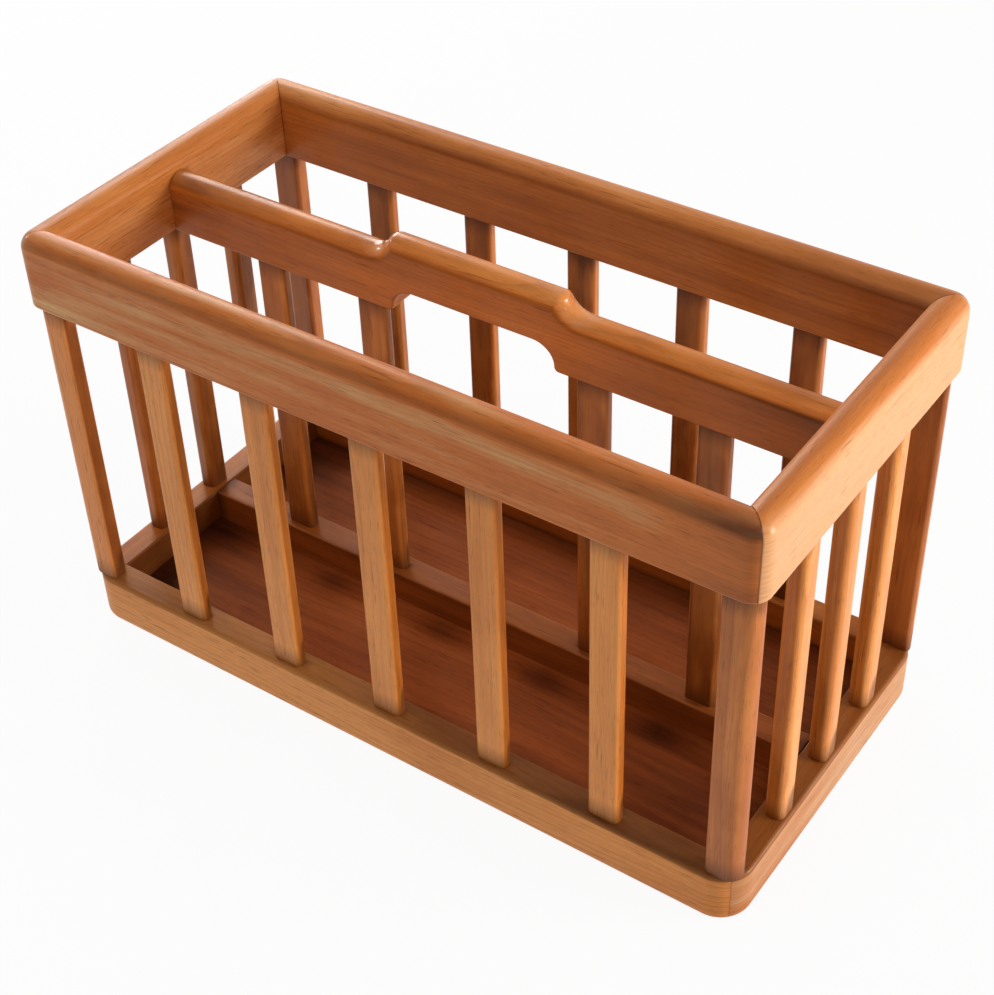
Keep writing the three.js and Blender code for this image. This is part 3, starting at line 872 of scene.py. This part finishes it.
def upright_row(name, wood, nodes, rounding, tenon, seed, tone, side_light_and_shade, outer_corner=-1):
    """Stands one upright for each CAD node, in a row from the first to the last, and returns the
    row with the boxes of its tenons. tenon is the shoulders left, right, front and back of it, and
    side_light_and_shade how much paler its sides are that face along the row: painted light above 0
    and painted shade below."""
    low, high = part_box(nodes[0])
    last_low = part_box(nodes[-1])[0]
    size = Vector((high.x - low.x, high.y - low.y, top_underside - base_height))
    first = Vector(((low.x + high.x) / 2, (low.y + high.y) / 2, base_height))
    step = Vector((last_low.x - low.x, last_low.y - low.y, 0)) / max(1, len(nodes) - 1)
    if step.length == 0:
        step.x = size.x
    left, right, front, back = tenon
    tenon_size = Vector((size.x - left - right, size.y - front - back, high.z - low.z))
    tenon_place = Vector(((left - right) / 2, (front - back) / 2, size.z / 2))
    values = {
        "Count": len(nodes),
        "First": tuple(first),
        "Step": tuple(step),
        "Size": tuple(size),
        "Arris": rounding,
        "Outer Rounding": POST_OUTER_ROUNDING,
        "Outer Corner": outer_corner,
        "Tenon Size": tuple(tenon_size),
        "Tenon Place": tuple(tenon_place),
        "Unevenness": UPRIGHT_UNEVENNESS,
        "Seed": seed,
        "Tone": tone,
        "Side Light And Shade": side_light_and_shade,
        "Wood": wood,
    }
    row = add_to_scene(name, bpy.data.meshes.new(name))
    modifier = row.modifiers.new("uprights", "NODES")
    modifier.node_group = upright_nodes
    for item in upright_nodes.interface.items_tree:
        if item.in_out == "INPUT" and item.name in values:
            modifier[item.identifier] = values[item.name]
    settle(row)
    shade(row, wood)
    boxes = []
    for number in range(len(nodes)):
        middle = first + step * number + tenon_place
        boxes.append((middle - tenon_size / 2, middle + tenon_size / 2))
    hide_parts(*nodes)
    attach(row, "root")
    return row, boxes


slat_wood = oiled_hardwood("slat_wood", (0.86, 0.32, 0.07), (0.62, 0.185, 0.026),
                           (0.2, 0.048, 0.009))
post_wood = oiled_hardwood("post_wood", (0.8, 0.27, 0.06), (0.5, 0.14, 0.026),
                           (0.15, 0.034, 0.008))
square_shoulders = (TENON_SHOULDER,) * 4
# How many slats a side has, their rounding, the seed, and the tone of their faces and their sides.
# The tones hold painted light and shade: the back row is darker as painted shade inside the basket,
# and each row's sides are paler or darker as the light falls along the row.
SLAT_ROWS = {
    "front": (5, SLAT_ARRIS, 3, 0.6, -1.2),
    "back": (5, SLAT_ARRIS, 5, -1.5, 0.8),
    "left": (3, END_SLAT_ARRIS, 7, -1.2, 0.6),
    "right": (3, END_SLAT_ARRIS, 9, 0.65, -1.15),
}
tenons = []
for side, (count, arris, seed, tone, side_light_and_shade) in SLAT_ROWS.items():
    names = [f"{side}_slat_{number}" for number in range(1, count + 1)]
    row, boxes = upright_row(f"{side}_slats_wood", slat_wood, names, arris, square_shoulders,
                             seed, tone, side_light_and_shade)
    tenons += boxes
# The outer corner of each post's section, numbered from the back right one leftwards round it, and
# the tone of the post's faces and of its sides, which hold painted light and shade
POSTS = {
    "back_right": (0, -0.3, -0.1),
    "back_left": (1, -0.9, 0.2),
    "front_left": (2, 1.3, -1.7),
    "front_right": (3, -0.1, -0.1),
}
for place, (outer_corner, tone, side_light_and_shade) in POSTS.items():
    left, right = TENON_SHOULDER, POST_OUTER_SHOULDER
    if place.endswith("left"):
        left, right = right, left
    shoulders = (left, right, POST_FACE_SHOULDER, POST_FACE_SHOULDER)
    row, boxes = upright_row(f"corner_post_{place}_wood", post_wood, [f"corner_post_{place}"],
                             POST_ARRIS, shoulders, POST_SEED + outer_corner, tone, side_light_and_shade,
                             outer_corner)
    tenons += boxes
# The numbers of the slats on each side of the grip, the seed, and the tones of their faces and
# sides, darker as painted shade inside the basket
DIVIDER_SLATS = {"left": ((1, 2), 13, -0.75, -0.8), "right": ((3, 4), 14, -1.3, -0.3)}
divider_tenons = []
for side, (numbers, seed, tone, side_light_and_shade) in DIVIDER_SLATS.items():
    names = [f"divider_slat_{number}" for number in numbers]
    row, boxes = upright_row(f"divider_slats_{side}_wood", slat_wood, names, SLAT_ARRIS,
                             square_shoulders, seed, tone, side_light_and_shade)
    divider_tenons += boxes

for side, rail in base_rails.items():
    cut_sockets(rail, tenons, SIDES[side])
    shade(rail, end_wood if side == "right" else base_wood)
    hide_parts(f"base_rail_{side}")
    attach(rail, "root")
cut_sockets(sill, divider_tenons)
sill_wood = oiled_hardwood("sill_wood", (0.6, 0.2, 0.05), (0.5, 0.135, 0.02), (0.12, 0.028, 0.006),
                           dull=0.5)
shade(sill, sill_wood)
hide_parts("divider_sill")
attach(sill, "root")


# Divider board. One board on edge between the end rails parts the two bays. It is sawn to a raised
# middle with a swept shoulder each side and an arched grip below. Its top is then rounded over.

CREST_RADIUS = 5 * MM
COVE_RADIUS = 13 * MM
CREST_REACH = 49.5 * MM
SHOULDER_DROP = 9.3 * MM
DIVIDER_RIDGE_FLAT = 0.6 * MM
DIVIDER_ARRIS = 1.2 * MM
GRIP_REACH = 50 * MM
GRIP_RISE = 14.5 * MM
GRIP_END = 13 * MM
GRIP_EASE = 3 * MM
DIVIDER_TENON_RISE = 14 * MM
DIVIDER_TENON_HEIGHT = 15 * MM
DIVIDER_TENON_THICKNESS = 7 * MM
COVE_STEPS = 18
CREST_STEPS = 12
EASE_STEPS = 8
ARCH_STEPS = COVE_STEPS + CREST_STEPS - EASE_STEPS
LEVEL_STEPS = 18
MIDDLE_STEPS = 6
ROUND_STEPS = 18
ARRIS_STEPS = 5
FACE_SHARES = (0.04, 0.15, 0.3, 0.5, 0.7, 0.85, 0.96)
ARRIS_WEAR = 0.2
DIVIDER_SEED = 51
# The board's tone along it, darker as painted shade inside the basket and most at the right end,
# in the painted shadow of the right rail, and how much paler its round-over is, as painted light
# and shade, from its start up to its ridge, times a share for each place along the board
DIVIDER_TONES = (-0.75, -0.6, -0.55, -0.45, -0.35, -0.5, -0.7, -1.3)
DIVIDER_CROWN_SHADING = (0.0, -0.6, 0.6, 0.8, 0.6)
DIVIDER_CROWN_SHADING_SHARES = (-0.6, 0.6, 0.9, 1.0, 1.2, 1.7)
# Worn is raised round the shoulders: they are smoother and glossier, and paler as a painted highlight
# where they glint.
SHOULDER_POLISH_AND_HIGHLIGHT = 1.6
SHOULDER_MIDDLE = 59 * MM
SHOULDER_SPREAD = 9 * MM

divider_low, divider_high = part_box("divider_board")
top_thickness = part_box("top_rail_front")[1].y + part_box("top_rail_back")[1].y
top_half_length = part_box("top_rail_right")[1].x
divider_reach = top_half_length - top_thickness - JOINT_GAP
half_board = (divider_high.y - divider_low.y) / 2
bullnose = half_board - DIVIDER_RIDGE_FLAT / 2
lean = math.acos(1 - SHOULDER_DROP / (CREST_RADIUS + COVE_RADIUS))
cove_x = CREST_REACH + (CREST_RADIUS + COVE_RADIUS) * math.sin(lean)
low_top = divider_high.z - SHOULDER_DROP


def whole_outline(middle, middle_z, curve, start, end_z):
    """An outline of the board from end to end. Its right half is level for the width middle,
    follows a curve, and is level again from start on. Its left half mirrors that."""
    right = [(middle * step / MIDDLE_STEPS, middle_z) for step in range(MIDDLE_STEPS)] + curve
    right += [(start + (divider_reach - start) * step / LEVEL_STEPS, end_z)
              for step in range(LEVEL_STEPS + 1)]
    return [(-x, z) for x, z in reversed(right[1:])] + right


def upper_edge(depth):
    """The board's upper outline, seen from the front, moved down into the board by a depth. Past
    the crest's radius its two sides meet in a mitre, as a router leaves it."""
    reach = COVE_RADIUS + depth
    mitre_x = cove_x - math.sqrt(reach ** 2 - (reach - SHOULDER_DROP) ** 2)
    mitre = (mitre_x, divider_high.z - depth)
    radius = CREST_RADIUS - depth
    curve = []
    for step in range(CREST_STEPS):
        angle = math.pi / 2 - lean * step / CREST_STEPS
        point = (CREST_REACH + radius * math.cos(angle),
                 divider_high.z - CREST_RADIUS + radius * math.sin(angle))
        curve.append(point if radius > 0 else mitre)
    for step in range(COVE_STEPS):
        angle = -math.pi / 2 - lean * (1 - step / COVE_STEPS)
        point = (cove_x + reach * math.cos(angle), low_top + COVE_RADIUS + reach * math.sin(angle))
        curve.append(point if depth <= CREST_RADIUS or point[0] > mitre_x else mitre)
    return whole_outline(CREST_REACH, divider_high.z - depth, curve, cove_x, low_top - depth)


def lower_edge(depth):
    """The board's lower outline with the arch of the grip, moved up into the board by a depth."""
    base = divider_low.z
    arch_x = GRIP_REACH - GRIP_END
    arch_rise = GRIP_RISE - GRIP_EASE
    ease_x = GRIP_REACH + GRIP_EASE
    curve = []
    for step in range(ARCH_STEPS):
        angle = math.pi / 2 * (1 - step / ARCH_STEPS)
        lean_out = Vector((math.cos(angle) / GRIP_END, math.sin(angle) / arch_rise))
        lean_out = lean_out.normalized() * depth
        curve.append((arch_x + GRIP_END * math.cos(angle) + lean_out.x,
                      base + GRIP_EASE + arch_rise * math.sin(angle) + lean_out.y))
    for step in range(EASE_STEPS):
        angle = math.pi + math.pi / 2 * step / EASE_STEPS
        radius = GRIP_EASE - depth
        curve.append((ease_x + radius * math.cos(angle),
                      base + GRIP_EASE + radius * math.sin(angle)))
    return whole_outline(arch_x, base + GRIP_RISE + depth, curve, ease_x, base + depth)


def divider_rows():
    """The lines that run the length of the board, from the middle of its underside up the front."""
    rows = [(0.0, lower_edge(0), 0.0)]
    for step in range(ARRIS_STEPS + 1):
        angle = math.pi / 2 * step / ARRIS_STEPS
        depth = DIVIDER_ARRIS * (1 - math.cos(angle))
        out = half_board - DIVIDER_ARRIS + DIVIDER_ARRIS * math.sin(angle)
        rows.append((out, lower_edge(depth), ARRIS_WEAR * math.sin(2 * angle)))
    bottom = lower_edge(DIVIDER_ARRIS)
    top = upper_edge(bullnose)
    for share in FACE_SHARES:
        between = [(low_x + (high_x - low_x) * share, low_z + (high_z - low_z) * share)
                   for (low_x, low_z), (high_x, high_z) in zip(bottom, top)]
        rows.append((half_board, between, 0.0))
    for step in range(ROUND_STEPS + 1):
        angle = math.pi / 2 * step / ROUND_STEPS
        depth = bullnose * (1 - math.sin(angle))
        out = DIVIDER_RIDGE_FLAT / 2 + bullnose * math.cos(angle)
        rows.append((out, upper_edge(depth), math.sin(angle)))
    return rows


divider_wood = oiled_hardwood("divider_wood", (0.84, 0.3, 0.06), (0.62, 0.17, 0.021),
                              (0.16, 0.037, 0.007))
front_rows = divider_rows()
back_rows = [(-out, edge, worn) for out, edge, worn in reversed(front_rows[1:])]
board = board_place(DIVIDER_SEED)
columns = []
for station in range(len(front_rows[0][1])):
    column = []
    for out, edge, worn in front_rows + back_rows:
        x, z = edge[station]
        place = Vector((x, -out, z))
        along = 0.5 + 0.5 * x / divider_reach
        crown = tone_at(DIVIDER_CROWN_SHADING, worn) * tone_at(DIVIDER_CROWN_SHADING_SHARES, along)
        tone = tone_at(DIVIDER_TONES, along) + crown
        worn *= 1 + SHOULDER_POLISH_AND_HIGHLIGHT * math.exp(-((abs(x) - SHOULDER_MIDDLE) / SHOULDER_SPREAD) ** 2)
        column.append(Point(place, place + board, tone, worn, 0.0))
    columns.append(column)
divider = grid_mesh("divider_board_wood", columns)
wear_down(divider, RAIL_UNEVENNESS)
divider_tenon = end_tenon(divider_low, divider_high, DIVIDER_TENON_RISE, DIVIDER_TENON_HEIGHT,
                          DIVIDER_TENON_THICKNESS)
joinery(divider, [divider_tenon], "UNION")
cut_sockets(divider, divider_tenons)
shade(divider, divider_wood)
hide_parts("divider_board")
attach(divider, "root")


# Top frame. Four deep rails, mitred and glued, close the basket round the top. Their upper edge is
# rounded right over with a router after gluing, so that it runs unbroken round the corners.

TOP_CORNER_RADIUS = 10 * MM
TOP_RIDGE_FLAT = 0.8 * MM
TOP_ARRIS = 1.2 * MM
TOP_SEAM = 0.5
# Worn is raised at the top corners: smoother and glossier, and paler as a painted highlight where they
# glint.
TOP_CORNER_WEAR_AND_HIGHLIGHT = 4.0
TOP_SEED = 61
# Each rail's tone from left to right seen from outside, with painted light and shade: the right end is
# paler where the window falls, the back is darker inside the basket and most by the basket's right end,
# in the painted shadow of the right rail, and the front darkens by the right corner.
TOP_TONES = {
    "front": (0.05, 0.25, 0.35, 0.2, 0.1, 0.05, 0.1, -0.75),
    "right": (1.0, 1.1, 1.0),
    "back": (-1.5, -0.9, -0.7, -0.55, -0.65, -0.5, -0.2, -0.35),
    "left": (0.55, 0.45, 0.2),
}
# How much paler the round-over is than the face, from a little above its start up to its crown:
# painted light and shade for how the light falls on the round-over
TOP_CROWN_SHADING = {
    "front": (-0.2, -0.8, -1.0, -0.8, -0.45, -0.1),
    "right": (0.0, -0.3, -0.6, -0.8, -1.0, -1.2),
    "back": (-0.3, -0.3, 0.0, 0.6, 0.7, 0.8),
    "left": (-0.2, -0.4, -0.5, -0.5, -0.4, -0.2),
}

top_half_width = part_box("top_rail_back")[1].y
top_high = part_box("top_rail_front")[1].z
top_round = (top_thickness - TOP_RIDGE_FLAT) / 2
top_section = closed_section([
    arc(TOP_ARRIS, top_underside + TOP_ARRIS, TOP_ARRIS, 270, 180, 4, 1.0),
    arc(top_round, top_high - top_round, top_round, 180, 90, ROUND_STEPS, 0.3),
    arc(top_thickness - top_round, top_high - top_round, top_round, 90, 0, ROUND_STEPS, 0.3),
    arc(top_thickness - TOP_ARRIS, top_underside + TOP_ARRIS, TOP_ARRIS, 0, -90, 4, 1.0),
])
# The right end's rail takes a paler, yellower copy of the wood: painted light where the window falls.
lit_end_wood = oiled_hardwood("lit_end_wood", (0.78, 0.385, 0.165), (0.61, 0.175, 0.026),
                             (0.34, 0.085, 0.014))
# The front rail's copy has paler, greyer streaks, partly a painted sheen of the face.
front_wood = oiled_hardwood("front_wood", (0.75, 0.44, 0.18), (0.59, 0.152, 0.019),
                            (0.18, 0.033, 0.004))
top_woods = {"front": front_wood, "right": lit_end_wood, "back": rail_wood, "left": rail_wood}
corner = corner_radius(TOP_CORNER_RADIUS, top_round, top_round + TOP_RIDGE_FLAT)
for number, (side, turn) in enumerate(SIDES.items()):
    crown_shading = (0.0,) + TOP_CROWN_SHADING[side]
    rail = mitred_rail(f"top_rail_{side}_wood", side, top_half_length, top_half_width, top_section,
                       corner, TOP_SEED + number, TOP_TONES[side], seam=TOP_SEAM,
                       corner_wear_and_highlight=TOP_CORNER_WEAR_AND_HIGHLIGHT,
                       tone_shift=lambda z: tone_at(crown_shading, 1 - (top_high - z) / top_round))
    cut_sockets(rail, tenons + [divider_tenon], turn)
    shade(rail, top_woods[side])
    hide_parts(f"top_rail_{side}")
    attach(rail, "root")


# Studio. A white sheet, a soft window light off the right end, a weaker one behind on the left,
# three small lamps that the rubbed edges glint in, a ceiling light, and the camera.

PHOTO_WIDTH = 994
FOCAL_PIXELS = 1897.471
SENSOR_WIDTH = 36
CAMERA_AZIMUTH = math.radians(35.83)
CAMERA_ELEVATION = math.radians(39.595)
CAMERA_ROLL = math.radians(-2.056)
CAMERA_DISTANCE = 1.043162
CAMERA_AIM = Vector((0.004287, 0.003145, 0.112067))
SHEET_SIZE = 2.6
SHEET_GLOW = 0.93
SHEET_LIGHT = 0.55
LIGHT_AIM = Vector((0, 0, 0.12))
PALE_WALL = 0.35
DIM_END = 0.12
WALL_TURN = 0.35
WALL_EDGES = (-0.35, 0.55)
SOFT_WHITE = (1, 0.98, 0.97)


def outwards(turn, rise):
    """The direction from the basket to what stands round it. A turn of 0 is before its long front,
    and a quarter turn is off its right end."""
    flat = math.cos(rise)
    return Vector((math.sin(turn) * flat, -math.cos(turn) * flat, math.sin(rise)))


def add_camera():
    """The camera, where the photograph was taken from, a little rolled as that was."""
    back = outwards(CAMERA_AZIMUTH, CAMERA_ELEVATION)
    level_right = Vector((math.cos(CAMERA_AZIMUTH), math.sin(CAMERA_AZIMUTH), 0))
    level_up = back.cross(level_right)
    right = math.cos(CAMERA_ROLL) * level_right + math.sin(CAMERA_ROLL) * level_up
    up = math.cos(CAMERA_ROLL) * level_up - math.sin(CAMERA_ROLL) * level_right
    data = bpy.data.cameras.new("camera")
    data.sensor_fit = "HORIZONTAL"
    data.sensor_width = SENSOR_WIDTH
    data.lens = FOCAL_PIXELS * SENSOR_WIDTH / PHOTO_WIDTH
    camera = add_to_scene("camera", data)
    turn = Matrix((right, up, back)).transposed()
    camera.matrix_world = Matrix.Translation(CAMERA_AIM + CAMERA_DISTANCE * back) @ turn.to_4x4()
    bpy.context.scene.camera = camera


def add_light(name, azimuth, elevation, distance, size, power, colour=SOFT_WHITE, shines=True):
    """A square soft box that faces the basket. No gloss shows one that doesn't shine."""
    towards = outwards(math.radians(azimuth), math.radians(elevation))
    data = bpy.data.lights.new(name, "AREA")
    data.size = size
    data.energy = power
    data.color = colour
    light = add_to_scene(name, data)
    light.location = LIGHT_AIM + towards * distance
    light.rotation_euler = towards.to_track_quat("Z", "Y").to_euler()
    light.visible_glossy = shines


def seen_directly(graph):
    """1 for the camera's own rays, also off gloss and through glass, and 0 for all others."""
    path = graph.add("ShaderNodeLightPath").socket.node.outputs
    kinds = ("Is Camera Ray", "Is Glossy Ray", "Is Transmission Ray")
    share = sum(Signal(graph, path[kind]) for kind in kinds)
    return graph.add("ShaderNodeClamp", None, {"Value": share})


def add_world():
    """A room with a pale wall behind the basket and a dim end behind the camera, before a white
    backdrop."""
    world = bpy.data.worlds.new("studio")
    graph = emptied_graph(world)
    direction = graph.add("ShaderNodeTexCoord", None, None, "Generated")
    across, away, _ = graph.parts(direction)
    towards_back = (away + WALL_TURN * across).between(*WALL_EDGES)
    glow = DIM_END + (PALE_WALL - DIM_END) * towards_back
    room = graph.add("ShaderNodeBackground", None, {"Color": (1, 0.97, 0.94, 1), "Strength": glow})
    white = graph.add("ShaderNodeBackground", None, {"Color": (1, 1, 1, 1), "Strength": 1})
    lit = graph.add("ShaderNodeMixShader", None, {0: seen_directly(graph), 1: room, 2: white})
    graph.add("ShaderNodeOutputWorld", None, {"Surface": lit})
    bpy.context.scene.world = world


def add_sheet():
    """A white sheet on the ground, which keeps the basket's shadow."""
    mesh = bpy.data.meshes.new("sheet")
    half = SHEET_SIZE / 2
    corners = [(-half, -half, 0), (half, -half, 0), (half, half, 0), (-half, half, 0)]
    mesh.from_pydata(corners, [], [(0, 1, 2, 3)])
    sheet = add_to_scene("sheet", mesh)
    material = bpy.data.materials.new("white_sheet")
    graph = emptied_graph(material)
    paper = graph.add("ShaderNodeBsdfDiffuse", None, {"Color": (0.86, 0.86, 0.86, 1)})
    white = graph.add("ShaderNodeEmission", None, {"Color": (1, 1, 1, 1), "Strength": 1})
    share = SHEET_LIGHT + (SHEET_GLOW - SHEET_LIGHT) * seen_directly(graph)
    lit = graph.add("ShaderNodeMixShader", None, {0: share, 1: paper, 2: white})
    graph.add("ShaderNodeOutputMaterial", None, {"Surface": lit})
    mesh.materials.append(material)
    sheet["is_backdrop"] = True


add_camera()
add_sheet()
add_world()
add_light("window", 110, 11, 1.8, 0.6, 28, (1, 0.97, 0.94))
add_light("far_window", -128, 30, 1.9, 0.8, 11)
add_light("low_lamp", -131, 9, 2.0, 0.3, 3)
add_light("left_lamp", -90, 24, 2.0, 0.25, 3.5)
add_light("right_lamp", 71, 40, 2.0, 0.2, 1.2)
add_light("ceiling", -12, 64, 1.8, 1.3, 11, (1, 0.98, 0.96), shines=False)
bpy.context.scene.view_settings.view_transform = "Standard"

visual_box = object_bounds()
boxes = {"cad": [list(corner) for corner in cad_box], "visual": [list(corner) for corner in visual_box]}
